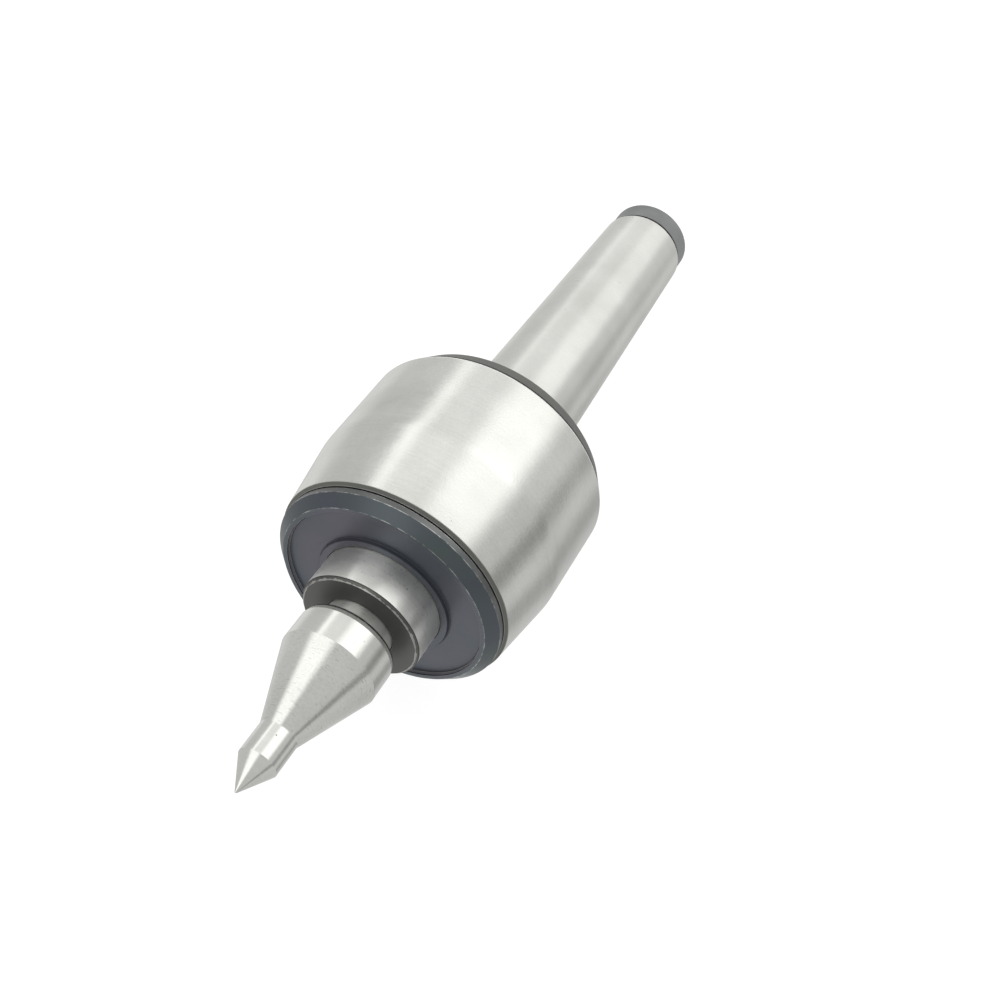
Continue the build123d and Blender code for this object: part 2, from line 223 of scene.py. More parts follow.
rings = node(grinding, "TexNoise", {"Vector": ring_vector, "Scale": 1.0, "Detail": 2.0, "Roughness": 0.6})[0]
grain_scale = maths(grinding, "DIVIDE", 1.0 / mm, given["Grain Size"])
grain = node(grinding, "TexNoise", {"Vector": place, "Scale": grain_scale,
                                    "Detail": 2.0, "Roughness": 0.7})[0]
wave_scale = maths(grinding, "DIVIDE", 1.0 / mm, given["Wave Size"])
wave = node(grinding, "TexNoise", {"Vector": place, "Scale": wave_scale, "Detail": 2.0, "Roughness": 0.45})[0]
patchy = node(grinding, "MapRange", {"Value": wave, "From Min": 0.4, "From Max": 0.6,
                                     "To Min": 0.3, "To Max": 1.5})[0]
grain_depth = maths(grinding, "MULTIPLY", patchy, given["Grain Depth"])
wave_height = maths(grinding, "MULTIPLY", wave, given["Wave Depth"])
grain_height = maths(grinding, "MULTIPLY_ADD", grain, grain_depth, wave_height)
height = maths(grinding, "MULTIPLY_ADD", rings, given["Ring Depth"], grain_height)
tone = maths(grinding, "MULTIPLY_ADD", rings, 0.5, maths(grinding, "MULTIPLY", grain, 0.5))
scores = node(grinding, "MapRange", {"Value": rings, "From Min": 0.58, "From Max": 0.7})[0]
grinding.links.new(maths(grinding, "MULTIPLY", height, mm), result["Height"])
grinding.links.new(tone, result["Tone"])
grinding.links.new(scores, result["Scores"])

# Pits: a few specks where scale or rust has bitten, and broad faint stains of old oil.
pitting, given, result = effect(
    "pitting", {"Spacing": 5.5, "Size": 0.3, "Stain Size": 18.0}, ("Pit", "Stain"))
place = node(pitting, "TexCoord")["Object"]
cell_scale = maths(pitting, "DIVIDE", 1.0 / mm, given["Spacing"])
cells = node(pitting, "TexVoronoi", {"Vector": place, "Scale": cell_scale, "Randomness": 1.0})
size = maths(pitting, "DIVIDE", given["Size"], given["Spacing"])
own_size = maths(pitting, "MULTIPLY", size, node(pitting, "SeparateColor", {0: cells["Color"]})[0])
speck = maths(pitting, "SUBTRACT", own_size, cells["Distance"])
pit = node(pitting, "MapRange", {"Value": speck, "From Min": -0.006, "From Max": 0.006})[0]
stain_scale = maths(pitting, "DIVIDE", 1.0 / mm, given["Stain Size"])
stain = node(pitting, "TexNoise", {"Vector": place, "Scale": stain_scale,
                                   "Detail": 3.0, "Roughness": 0.55})[0]
stained = node(pitting, "MapRange", {"Value": stain, "From Min": 0.35, "From Max": 0.7})[0]
pitting.links.new(pit, result["Pit"])
pitting.links.new(stained, result["Stain"])

# Worn edge: a ragged band along every corner of a turned outline, where handling has rubbed
# the finish away. It reads how far, in millimetres, the surface is from the nearest corner.
worn_edge, given, result = effect(
    "worn_edge", {"Width": 0.25, "Raggedness": 0.3, "Patch Size": 2.0}, ("Mask",))
edge = node(worn_edge, "Attribute", attribute_name="edge")["Fac"]
place = node(worn_edge, "TexCoord")["Object"]
patch_scale = maths(worn_edge, "DIVIDE", 1.0 / mm, given["Patch Size"])
patches = node(worn_edge, "TexNoise", {"Vector": place, "Scale": patch_scale,
                                       "Detail": 4.0, "Roughness": 0.65})[0]
ragged = maths(worn_edge, "MULTIPLY", maths(worn_edge, "SUBTRACT", patches, 0.5), given["Raggedness"])
left = maths(worn_edge, "SUBTRACT", maths(worn_edge, "ADD", given["Width"], ragged), edge)
rubbed = node(worn_edge, "MapRange", {"Value": left, "From Min": -0.03, "From Max": 0.03})[0]
worn_edge.links.new(rubbed, result["Mask"])


def paint_with_shader(name):
    """A new node material, with its tree and its shader."""
    paint = bpy.data.materials.new(name)
    paint.use_nodes = True
    return paint, paint.node_tree, paint.node_tree.nodes["Principled BSDF"]


def blend(tree, share, first, second):
    """Mixes two colours by a mask. Each colour is three numbers or an output."""
    pair = [colour if isinstance(colour, bpy.types.NodeSocket) else (*colour, 1)
            for colour in (first, second)]
    return node(tree, "Mix", data_type="RGBA", inputs={0: share, 6: pair[0], 7: pair[1]})[2]


def vary(tree, tone, amount, middle):
    """A number that swings about its middle with a tone."""
    return maths(tree, "MULTIPLY_ADD", maths(tree, "SUBTRACT", tone, 0.5), amount, middle)


def cut_marks(tree, marks):
    """The grinding effect with a finish's own marks: ring_width sets its Ring Width, and so on."""
    return use(tree, grinding, {label.replace("_", " ").title(): value for label, value in marks.items()})


def bright_steel(name, light=(0.79, 0.79, 0.755), stained=(0.70, 0.70, 0.665), roughness=0.2, spread=0.12,
                 streak=0.85, pits=0.2, mottle=0.25, scores=0.0, **marks):
    """Ground or turned bare steel, rougher along the axis than round it, with pits and stains."""
    paint, tree, shader = paint_with_shader(name)
    cut = cut_marks(tree, marks)
    age = use(tree, pitting, {"Size": pits})
    pitted = blend(tree, age["Pit"], blend(tree, age["Stain"], light, stained), (0.3, 0.3, 0.28))
    shade = maths(tree, "MULTIPLY_ADD", cut["Scores"], -scores, vary(tree, cut["Tone"], mottle, 1.0))
    shaded = node(tree, "HueSaturation", {"Value": shade, "Color": pitted})[0]
    tree.links.new(shaded, shader.inputs["Base Color"])
    rough = maths(tree, "MULTIPLY_ADD", age["Pit"], 0.4, vary(tree, cut["Tone"], spread, roughness))
    tree.links.new(rough, shader.inputs["Roughness"])
    sunk = maths(tree, "MULTIPLY_ADD", age["Pit"], -0.02 * mm, cut["Height"])
    bump = node(tree, "Bump", {"Height": sunk, "Distance": 1.0, "Strength": 1.0})[0]
    tree.links.new(bump, shader.inputs["Normal"])
    shader.inputs["Metallic"].default_value = 1.0
    shader.inputs["Anisotropic"].default_value = streak
    shader.inputs["Anisotropic Rotation"].default_value = 0.25
    tree.links.new(node(tree, "Tangent", direction_type="RADIAL", axis="X")[0], shader.inputs["Tangent"])
    return paint


def dark_scale(name, colour, tint, roughness=0.42, metal=0.75, width=0.12, rag=0.25,
               shine=(0.5, 0.5, 0.48), **marks):
    """Steel under a dark skin of oxide or scale, which is rubbed through to metal along its edges."""
    paint, tree, shader = paint_with_shader(name)
    cut = cut_marks(tree, marks)
    age = use(tree, pitting, {"Size": 0.2, "Spacing": 9.0})
    worn = use(tree, worn_edge, {"Width": width, "Raggedness": rag})["Mask"]
    skin = blend(tree, age["Pit"], blend(tree, age["Stain"], colour, tint), shine)
    tree.links.new(blend(tree, worn, skin, shine), shader.inputs["Base Color"])
    rough = maths(tree, "MULTIPLY_ADD", worn, -0.12, vary(tree, cut["Tone"], 0.15, roughness))
    tree.links.new(rough, shader.inputs["Roughness"])
    tree.links.new(maths(tree, "MULTIPLY_ADD", worn, 1 - metal, metal), shader.inputs["Metallic"])
    tree.links.new(node(tree, "Bump", {"Height": cut["Height"], "Distance": 1.0})[0], shader.inputs["Normal"])
    return paint


root_radius = gauge_radius + housing_rear * taper_slope
end_radius = gauge_radius + taper_end * taper_slope
rear_slope = (barrel_radius - rear_face_radius) / (barrel_rear - housing_rear)
# In this outline the near-black sides are painted shade: a band on the tail behind the taper's end step, a
# band on the rear chamfer beside the barrel's edge, and the housing's front face in the gap before the cover.
housing_outline = [
    (shank_end + 6.9, 0, 0, BORED), (shank_end + 6.0, 1.5, 0.0, BORED), (shank_end + 2.6, 1.5, 0.1, BORED),
    (shank_end, 3.0, 0.15, TAIL), (shank_end, tail_radius - 0.6, 0.2, TAIL),
    (shank_end + 0.6, tail_radius, 0.2, TAIL), (taper_end - 1.3, tail_radius, 0.0, SHADE_LINE),
    (taper_end, tail_radius, 0.03, LIT_EDGE), (taper_end, end_radius - 0.15, 0.05, LIT_EDGE),
    (taper_end + 0.15, end_radius, 0.1, LIT_EDGE), (taper_end + 0.3, end_radius + 0.15 * taper_slope, 0.0, TAPER),
    (housing_rear - 1.4, root_radius - 0.04, 0.05, TAPER),
    (housing_rear - 1.2, root_radius - 0.3, 0.1, SCALE),
    (housing_rear, root_radius - 0.3, 0.0, SCALE), (housing_rear, rear_face_radius, 0.2, SCALE),
    (barrel_rear - 1.1, barrel_radius - 1.1 * rear_slope, 0.0, SHADE_LINE),
    (barrel_rear - 0.1, barrel_radius - 0.1 * rear_slope, 0.0, LIT_EDGE),
    (barrel_rear, barrel_radius, 0.12, LIT_EDGE), (barrel_rear + 0.25, barrel_radius, 0.0, GROUND),
    (barrel_front, barrel_radius, 20.0, GROUND),
    (housing_front - 0.8, front_edge_radius, 0.2, SCALE), (housing_front, front_edge_radius - 0.8, 0.1, SHADE_LINE),
    (housing_front, thread_radius + 0.35, 0.05, BORED), (housing_front - 0.35, thread_radius, 0.0, BORED),
    (thread_relief + 1.4, thread_radius, 0.0, BORED), (thread_relief + 1.4, thread_radius + 0.3, 0.1, BORED),
    (thread_relief, thread_radius + 0.3, 0.15, BORED), (thread_relief, front_seat_radius + 0.4, 0.05, BORED),
    (thread_relief - 0.4, front_seat_radius, 0.1, BORED), (front_seat, front_seat_radius, 0.3, BORED),
    (front_seat, thrust_seat_radius + 0.4, 0.05, BORED), (front_seat - 0.4, thrust_seat_radius, 0.1, BORED),
    (thrust_seat, thrust_seat_radius, 0.3, BORED), (thrust_seat, needle_seat_radius + 0.4, 0.05, BORED),
    (thrust_seat - 0.4, needle_seat_radius, 0.1, BORED), (needle_seat_end, needle_seat_radius, 0.4, BORED),
    (needle_seat_end - 3.0, needle_seat_radius - 5.5, 0.3, BORED), (needle_seat_end - 6.0, 0, 0, BORED),
]
housing = turned("housing_and_shank", housing_outline, closed=False, around=240,
                 thread=(thread_relief + 1.5, housing_front - 0.4, thread_radius, thread_pitch, thread_depth))
housing.data.materials.append(bright_steel(
    "ground_barrel", roughness=0.24, ring_width=0.3, ring_depth=0.002, grain_size=0.8, grain_depth=0.016,
    wave_size=14.0, wave_depth=0.06))
housing.data.materials.append(bright_steel(
    "ground_taper", roughness=0.34, ring_width=0.3, ring_depth=0.002, grain_size=0.7, grain_depth=0.008,
    wave_size=10.0, wave_depth=0.09))
housing.data.materials.append(dark_scale(
    "turned_scale", colour=(0.145, 0.15, 0.13), tint=(0.12, 0.125, 0.115), roughness=0.6, metal=0.4,
    width=0.04, rag=0.12, ring_width=0.3, ring_depth=0.001, grain_depth=0.003))
housing.data.materials.append(bright_steel(
    "bored_steel", light=(0.60, 0.60, 0.58), stained=(0.5, 0.5, 0.48), roughness=0.3,
    ring_width=0.25, ring_depth=0.002))
# Painted shade: a near-black colour, without wear, put on narrow bands in gaps, in corners and behind steps,
# where shade falls.
painted_shade = dark_scale("painted_shade", colour=(0.012, 0.012, 0.011), tint=(0.02, 0.02, 0.018), roughness=0.8,
                         metal=0.0, width=0.0, rag=0.0, grain_depth=0.004)
housing.data.materials.append(painted_shade)
# The near-white edge colour is partly steel rubbed bright and partly a painted highlight: narrow bands at the
# taper's end step and the barrel's rear edge are lighter than ground steel, as if catching the light.
rubbed_and_highlit_edge = bright_steel("rubbed_and_highlit_edge", light=(0.92, 0.92, 0.90), stained=(0.8, 0.8, 0.77), roughness=0.5,
                           streak=0.0, grain_depth=0.004)
housing.data.materials.append(rubbed_and_highlit_edge)
housing.data.materials.append(dark_scale(
    "tail_scale", colour=(0.30, 0.305, 0.305), tint=(0.18, 0.185, 0.185), roughness=0.5, metal=0.5,
    width=0.02, rag=0.2, ring_width=0.3, ring_depth=0.001, grain_depth=0.006))
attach(housing, "housing_body")
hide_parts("housing")

# ---------------------------------------------------------------- Rear and thrust bearings
# Bought-in bearings of hardened chrome steel, lapped bright: a drawn cup needle bearing for the
# spindle's tail, and a thrust ball bearing that carries the push of the tailstock. A cup spring
# under it gives way as the workpiece grows with heat.
race_steel = bright_steel("race_steel", light=(0.72, 0.73, 0.73), stained=(0.66, 0.67, 0.66), roughness=0.14,
                          spread=0.06, pits=0.0, ring_depth=0.0003, grain_depth=0.0002, wave_depth=0.002)
ball_steel = bright_steel("ball_steel", light=(0.74, 0.75, 0.76), stained=(0.70, 0.71, 0.72), roughness=0.06,
                          spread=0.03, streak=0.0, pits=0.0, ring_depth=0.0, grain_depth=0.0001,
                          wave_depth=0.001)
pressed_steel = bright_steel("pressed_steel", light=(0.60, 0.59, 0.55), stained=(0.52, 0.51, 0.47),
                             roughness=0.34, streak=0.2, pits=0.1, ring_depth=0.001, grain_depth=0.002,
                             wave_depth=0.01)
spring_steel = dark_scale("blued_spring", colour=(0.07, 0.09, 0.14), tint=(0.12, 0.09, 0.09), roughness=0.3,
                          metal=0.9, grain_depth=0.001)


def give_finish(paint, *names):
    """Gives carried-over CAD nodes their finish, through their own material slots."""
    for name in names:
        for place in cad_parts[name].material_slots:
            place.material = paint


def arc(x, radius, reach, start, stop, steps=16):
    """Outline corners on a circle of radius reach round (x, radius), from one angle to another.

    A corner is (x + reach cos a, radius + reach sin a), with a in degrees.
    """
    a = np.radians(np.linspace(start, stop, steps))
    return [(*corner, 0.0, 0) for corner in zip(x + reach * np.cos(a), radius + reach * np.sin(a))]


def ring(name, corners, paint, body, around=192):
    """A turned ring of one finish, which takes the place of the CAD node of that name."""
    piece = turned(name + "_turned", [(*corner, 0)[:4] for corner in corners], around=around)
    piece.data.materials.append(paint)
    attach(piece, body)
    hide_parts(name)


def balls(name, x, pitch, radius, count, body, rows=24, around=40):
    """A ring of lapped balls. Ball k is centred at (x, pitch cos b, pitch sin b), b = 2 pi k / count,
    and a point on it is that centre plus radius (cos p, sin p cos q, sin p sin q)."""
    p = np.linspace(0, pi, rows + 1)[1:-1, None]
    q = np.linspace(0, 2 * pi, around, endpoint=False)
    skin = np.stack([np.cos(p) + 0 * q, np.sin(p) * np.cos(q), np.sin(p) * np.sin(q)], 2).reshape(-1, 3)
    skin = np.concatenate([skin, [(1, 0, 0), (-1, 0, 0)]]) * radius
    b = 2 * pi * np.arange(count) / count
    centres = np.stack([np.full(count, float(x)), pitch * np.cos(b), pitch * np.sin(b)], 1)
    vertices = (centres[:, None] + skin).reshape(-1, 3)
    number = np.arange((rows - 1) * around).reshape(rows - 1, around)
    beside = np.roll(number, -1, 1)
    quads = np.stack([number[:-1], number[1:], beside[1:], beside[:-1]], 2).reshape(-1, 4)
    front, back = number.size, number.size + 1
    front_fan = np.stack([np.full(around, front), number[0], beside[0]], 1)
    back_fan = np.stack([np.full(around, back), beside[-1], number[-1]], 1)
    shift = np.arange(count)[:, None, None] * len(skin)
    faces = [face for part in (quads, front_fan, back_fan)
             for face in (part + shift).reshape(-1, part.shape[1]).tolist()]
    mesh = bpy.data.meshes.new(name)
    mesh.from_pydata((vertices * mm).tolist(), [], faces)
    mesh.shade_smooth()
    piece = bpy.data.objects.new(name + "_lapped", mesh)
    bpy.context.scene.collection.objects.link(piece)
    piece.data.materials.append(ball_steel)
    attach(piece, body)
    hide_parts(name)


needle_front, needle_rear, cup_wall = 7.0, -9.0, 0.7
cup_radius, cup_end_radius, cup_bore, cup_lip = 10.99, 10.3, 10.0, 8.9
ring("needle_bearing_cup", [
    (needle_rear, cup_end_radius, 0.3), (needle_rear + cup_wall, cup_radius, 0.3),
    (needle_front - cup_wall, cup_radius, 0.3), (needle_front, cup_end_radius, 0.3),
    (needle_front, cup_lip, 0.1), (needle_front - cup_wall, cup_lip, 0.1),
    (needle_front - cup_wall, cup_bore, 0.05), (needle_rear + cup_wall, cup_bore, 0.05),
    (needle_rear + cup_wall, cup_lip, 0.1), (needle_rear, cup_lip, 0.1)],
    pressed_steel, "housing_body")
thrust_x, thrust_pitch, thrust_ball, thrust_groove, groove_half = 30.5, 17.0, 3.17, 3.2, 38.6
lower_rear, lower_front, lower_outside, lower_bore = 25.0, 28.0, 21.05, 12.95
ring("thrust_housing_washer", [
    (lower_rear, lower_outside, 0.5), (lower_front, lower_outside, 0.5),
    *arc(thrust_x, thrust_pitch, thrust_groove, 180 - groove_half, 180 + groove_half),
    (lower_front, lower_bore, 0.2), (lower_rear, lower_bore, 0.2)],
    race_steel, "housing_body")
upper_rear, upper_front, upper_outside, upper_bore = 33.0, 36.0, 20.9, 12.5
ring("thrust_shaft_washer", [
    (upper_rear, upper_outside, 0.5), (upper_front, upper_outside, 0.5),
    (upper_front, upper_bore, 0.2), (upper_rear, upper_bore, 0.2),
    *arc(thrust_x, thrust_pitch, thrust_groove, -groove_half, groove_half)],
    race_steel, "spindle_body")
spring_seat, spring_top, spring_outside, spring_bore = 23.22, 24.97, 20.9, 14.2
ring("thrust_cup_spring", [
    (spring_seat, spring_outside, 0.12), (spring_seat + 0.85, spring_outside, 0.12),
    (spring_top, spring_bore, 0.12), (spring_top - 0.87, spring_bore, 0.12)],
    spring_steel, "housing_body")
balls("thrust_balls", thrust_x, thrust_pitch, thrust_ball, 14, "thrust_ball_set")
give_finish(ball_steel, "needle_rollers")
give_finish(pressed_steel, "needle_cage", "thrust_cage")

# ---------------------------------------------------------------- Spindle
# Hardened alloy steel, ground between centres on its journals and nose. Its end face keeps a dark
# scale, and its 1 : 10 taper socket is ground to hold the point by friction.
low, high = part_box("spindle")
tail_end, nose_face, nose_radius = low.x / mm, high.x / mm, high.z / mm
nose_chamfer, mouth_radius, point_slope = 0.8, 9.02, 0.05
journal_radius, thrust_journal_radius, tail_journal_radius = 15.0, 12.5, 8.0
journal_front, thrust_shoulder, tail_start = 54.0, 36.0, 24.6
groove_radius, groove_rear, groove_front = 14.3, 39.49, 41.0
socket_end, relief_length, drill_cone = 46.5, 6.5, 0.6
relief_end = socket_end - relief_length
socket_radius = mouth_radius - (nose_face - socket_end) * point_slope
NOSE, FACE, JOURNAL, SOCKET, SHADE_RING, SCUFF = range(6)
spindle_outline = [
    (tail_end, 0, 0, JOURNAL), (tail_end, tail_journal_radius - 0.8, 0.2, JOURNAL),
    (tail_end + 0.8, tail_journal_radius, 0.2, JOURNAL), (tail_start, tail_journal_radius, 0.3, JOURNAL),
    (tail_start, thrust_journal_radius - 0.5, 0.1, JOURNAL),
    (tail_start + 0.5, thrust_journal_radius, 0.1, JOURNAL),
    (thrust_shoulder, thrust_journal_radius, 0.2, JOURNAL),
    (thrust_shoulder, journal_radius - 0.4, 0.1, JOURNAL),
    (thrust_shoulder + 0.4, journal_radius, 0.1, JOURNAL), (groove_rear, journal_radius, 0.03, JOURNAL),
    (groove_rear, groove_radius, 0.05, JOURNAL), (groove_front, groove_radius, 0.05, JOURNAL),
    (groove_front, journal_radius, 0.03, JOURNAL), (journal_front, journal_radius, 0.2, JOURNAL),
    (journal_front, nose_radius - 0.3, 0.05, NOSE), (journal_front + 0.3, nose_radius, 0.1, NOSE),
    (nose_face - nose_chamfer, nose_radius, 0.05, SHADE_RING),
    (nose_face - nose_chamfer + 0.15, nose_radius - 0.15, 0.0, SCUFF),
    (nose_face, nose_radius - nose_chamfer, 0.1, FACE),
    (nose_face, mouth_radius + 0.3, 0.05, SHADE_RING),
    (nose_face - 0.3, mouth_radius - 0.3 * point_slope, 0.1, SOCKET),
    (socket_end, socket_radius, 0.0, SOCKET), (socket_end, socket_radius + 0.3, 0.1, SOCKET),
    (relief_end, socket_radius + 0.3, 0.5, SOCKET), (relief_end - socket_radius * drill_cone, 0, 0, SOCKET),
]
spindle = turned("spindle_nose_and_journals", spindle_outline, closed=False, around=224)
# The nose's steel is painted lighter than the other ground steel, standing in for light that its surroundings
# do not give it.
spindle.data.materials.append(bright_steel(
    "ground_nose_painted_light", light=(0.93, 0.93, 0.89), stained=(0.8, 0.8, 0.76), roughness=0.29, streak=0.9,
    ring_width=0.3, ring_depth=0.002, grain_size=0.6, grain_depth=0.01, wave_size=7.0, wave_depth=0.16))
spindle.data.materials.append(dark_scale(
    "face_scale", colour=(0.098, 0.098, 0.095), tint=(0.108, 0.108, 0.105), roughness=0.5, metal=0.6,
    width=0.0, rag=0.35, ring_width=0.35, ring_depth=0.001, grain_depth=0.003))
spindle.data.materials.append(race_steel)
spindle.data.materials.append(bright_steel(
    "ground_socket", light=(0.62, 0.62, 0.60), stained=(0.55, 0.55, 0.53), roughness=0.25, ring_depth=0.001))
# Painted shade: near-black rings at the nose's outer corner, where its chamfer starts, and on the chamfer
# round the socket's mouth.
spindle.data.materials.append(painted_shade)
spindle.data.materials.append(dark_scale(
    "scuffed_chamfer", colour=(0.08, 0.08, 0.075), tint=(0.16, 0.16, 0.15), roughness=0.45, metal=0.7,
    width=0.3, rag=1.6, shine=(0.4, 0.4, 0.38), grain_depth=0.006))
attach(spindle, "spindle_body")
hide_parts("spindle")

# ---------------------------------------------------------------- Front bearing
# A bought-in deep groove ball bearing with a pressed shield on each side. It carries the side
# load, and a spring ring behind it keeps the spindle from coming out.
bearing_x, ball_pitch, ball_radius, ball_groove, groove_half = 47.5, 21.25, 3.57, 3.62, 42.9
bearing_rear, bearing_front, bearing_outside, bearing_bore = 41.0, 54.0, 27.5, 15.0
outer_shoulder, inner_shoulder, shield_groove = 23.9, 18.6, 24.5
shield_near, shield_far = 0.65, 1.15
ring("front_bearing_outer_ring", [
    (bearing_rear, bearing_outside, 0.9), (bearing_front, bearing_outside, 0.9),
    (bearing_front, outer_shoulder, 0.2), (bearing_front - shield_near, outer_shoulder, 0.05),
    (bearing_front - shield_near, shield_groove, 0.05), (bearing_front - shield_far, shield_groove, 0.05),
    (bearing_front - shield_far, outer_shoulder, 0.05),
    *arc(bearing_x, ball_pitch, ball_groove, 90 - groove_half, 90 + groove_half),
    (bearing_rear + shield_far, outer_shoulder, 0.05), (bearing_rear + shield_far, shield_groove, 0.05),
    (bearing_rear + shield_near, shield_groove, 0.05), (bearing_rear + shield_near, outer_shoulder, 0.05),
    (bearing_rear, outer_shoulder, 0.2)], race_steel, "housing_body")
ring("front_bearing_inner_ring", [
    (bearing_rear, inner_shoulder, 0.2),
    *arc(bearing_x, ball_pitch, ball_groove, 270 - groove_half, 270 + groove_half),
    (bearing_front, inner_shoulder, 0.2), (bearing_front, bearing_bore, 0.9),
    (bearing_rear, bearing_bore, 0.9)],
    race_steel, "spindle_body")
balls("front_bearing_balls", bearing_x, ball_pitch, ball_radius, 11, "front_ball_set")
give_finish(pressed_steel, "front_bearing_cage", "front_bearing_shields")
give_finish(spring_steel, "spindle_retaining_ring")

# ---------------------------------------------------------------- Front cover
# The cover is a turned steel ring, blacked hot in a bath of salts to a slate blue, and screwed
# into the housing. Its rim is rubbed bright. The top and foot of its recess wall, and the floor's corner by
# the boss, are painted near black as shade, and the wall between them is painted lighter as if lit.
low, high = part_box("front_cover")
cover_face, land_radius = high.x / mm, high.z / mm
cover_rear, land_front = 62.3, 64.0
face_radius, recess_radius, recess_depth = 28.4, 27.2, 1.1
boss_radius, cover_bore = 18.2, 16.45
spigot_end, spigot_radius = 54.05, 28.95
seal_front, seal_pocket_radius = 62.0, 22.0
thread_front, rim_groove_front, undercut_radius = 59.4, 61.5, 27.4
LAND, OXIDE, BORE, RECESS, LIT_WALL, CORNER_SHADE = range(6)
cover_outline = [
    (cover_rear, land_radius - 0.15, 0.0, LAND), (cover_rear + 0.15, land_radius, 0.05, LAND),
    (land_front, land_radius, 0.1, OXIDE), (cover_face, face_radius, 0.1, OXIDE),
    (cover_face, face_radius - 0.5, 0.0, RECESS), (cover_face, recess_radius, 0.05, CORNER_SHADE),
    (cover_face - 0.35, recess_radius - 0.03, 0.0, LIT_WALL),
    (cover_face - recess_depth, recess_radius - 0.1, 0.1, CORNER_SHADE),
    (cover_face - recess_depth, recess_radius - 0.35, 0.0, RECESS),
    (cover_face - recess_depth, boss_radius + 0.35, 0.0, CORNER_SHADE),
    (cover_face - recess_depth, boss_radius + 0.1, 0.1, RECESS), (cover_face, boss_radius, 0.2, RECESS),
    (cover_face, cover_bore, 0.1, BORE), (seal_front, cover_bore, 0.05, BORE),
    (seal_front, seal_pocket_radius, 0.1, BORE), (spigot_end + 0.6, seal_pocket_radius, 0.05, BORE),
    (spigot_end, seal_pocket_radius + 0.6, 0.05, OXIDE), (spigot_end, 27.0, 0.05, OXIDE),
    (spigot_end + 0.5, undercut_radius, 0.05, OXIDE), (spigot_end + 1.0, undercut_radius, 0.0, OXIDE),
    (spigot_end + 1.0, spigot_radius - 0.5, 0.03, OXIDE), (spigot_end + 1.5, spigot_radius, 0.0, OXIDE),
    (thread_front, spigot_radius, 0.0, OXIDE), (thread_front, undercut_radius, 0.05, OXIDE),
    (rim_groove_front, undercut_radius, 0.05, OXIDE), (rim_groove_front, spigot_radius, 0.03, OXIDE),
    (cover_rear, spigot_radius, 0.03, OXIDE),
]
cover = turned("cover_ring", cover_outline, around=256,
               thread=(spigot_end + 1.6, thread_front - 0.1, spigot_radius, thread_pitch, thread_depth))
cover.data.materials.append(dark_scale(
    "rubbed_oxide", colour=(0.2, 0.205, 0.2), tint=(0.12, 0.13, 0.13), roughness=0.35, metal=0.9, width=0.02,
    rag=0.4, ring_width=0.3, ring_depth=0.001, grain_depth=0.006))
cover.data.materials.append(dark_scale(
    "blue_black_oxide", colour=(0.088, 0.098, 0.118), tint=(0.082, 0.102, 0.10), roughness=0.34, metal=0.7,
    width=0.0, rag=0.3, ring_width=0.3, ring_depth=0.001, grain_depth=0.003))
cover.data.materials.append(dark_scale(
    "bore_oxide", colour=(0.04, 0.042, 0.05), tint=(0.05, 0.05, 0.055), roughness=0.45, metal=0.6,
    width=0.0, rag=0.1))
cover.data.materials.append(dark_scale(
    "recess_oxide", colour=(0.086, 0.084, 0.104), tint=(0.064, 0.078, 0.094), roughness=0.36, metal=0.55,
    width=-0.1, rag=0.25, ring_width=0.3, ring_depth=0.001, grain_depth=0.003))
# Painted light: the recess wall's colour is much lighter than the oxide round it, standing in for the light
# the wall catches.
cover.data.materials.append(dark_scale(
    "wall_painted_light", colour=(0.3, 0.3, 0.34), tint=(0.2, 0.21, 0.25), roughness=0.5, metal=0.4,
    width=-0.1, rag=0.0))
# Painted shade at the top and foot of the recess wall and at the floor's inner corner by the boss.
cover.data.materials.append(painted_shade)
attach(cover, "housing_body")
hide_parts("front_cover")


# ---------------------------------------------------------------- Seal and O-ring
# Both are moulded nitrile rubber. The lip seal is pressed into the back of the cover, and a coiled
# spring round its lip holds it to the spindle. The O-ring sits in the groove under the cover's rim.
def rubber(name, colour=(0.018, 0.018, 0.019)):
    """Moulded nitrile rubber: near black, dull, with a fine bloom and mould grain."""
    paint, tree, shader = paint_with_shader(name)
    cut = use(tree, grinding, {"Grain Size": 0.2, "Grain Depth": 0.004, "Ring Depth": 0.001})
    age = use(tree, pitting, {"Size": 0.0, "Stain Size": 6.0})
    bloom = blend(tree, age["Stain"], colour, tuple(2.2 * part for part in colour))
    tree.links.new(bloom, shader.inputs["Base Color"])
    tree.links.new(maths(tree, "MULTIPLY_ADD", cut["Tone"], 0.2, 0.5), shader.inputs["Roughness"])
    tree.links.new(node(tree, "Bump", {"Height": cut["Height"], "Distance": 1.0})[0], shader.inputs["Normal"])
    return paint


nitrile = rubber("nitrile_rubber")
o_ring_x, o_ring_pitch, o_ring_cord = 60.45, 28.2, 0.79
ring("cover_o_ring", arc(o_ring_x, o_ring_pitch, o_ring_cord, 180, -164, 24), nitrile, "housing_body",
     around=224)
seal_back, seal_face, seal_outside, seal_shell = 55.9, 61.9, 21.99, 21.0
lip_x, lip_radius, lip_root, lip_back = 57.6, 16.28, 17.1, 18.15
ring("spindle_seal", [
    (seal_back, seal_shell, 0.1), (seal_back, seal_outside - 0.29, 0.2), (seal_back + 0.3, seal_outside, 0.1),
    (seal_face - 0.3, seal_outside, 0.1), (seal_face, seal_outside - 0.29, 0.2), (seal_face, lip_root, 0.1),
    (lip_x + 0.4, lip_radius, 0.05), (lip_x, lip_radius, 0.05), (lip_x - 0.8, lip_root, 0.1),
    (lip_x - 0.8, lip_back, 0.1), (lip_x + 0.8, lip_back, 0.1), (lip_x + 1.1, lip_root + 0.5, 0.1),
    (lip_x + 2.7, lip_back + 0.05, 0.2), (lip_x + 2.7, seal_shell, 0.1)],
    nitrile, "housing_body")


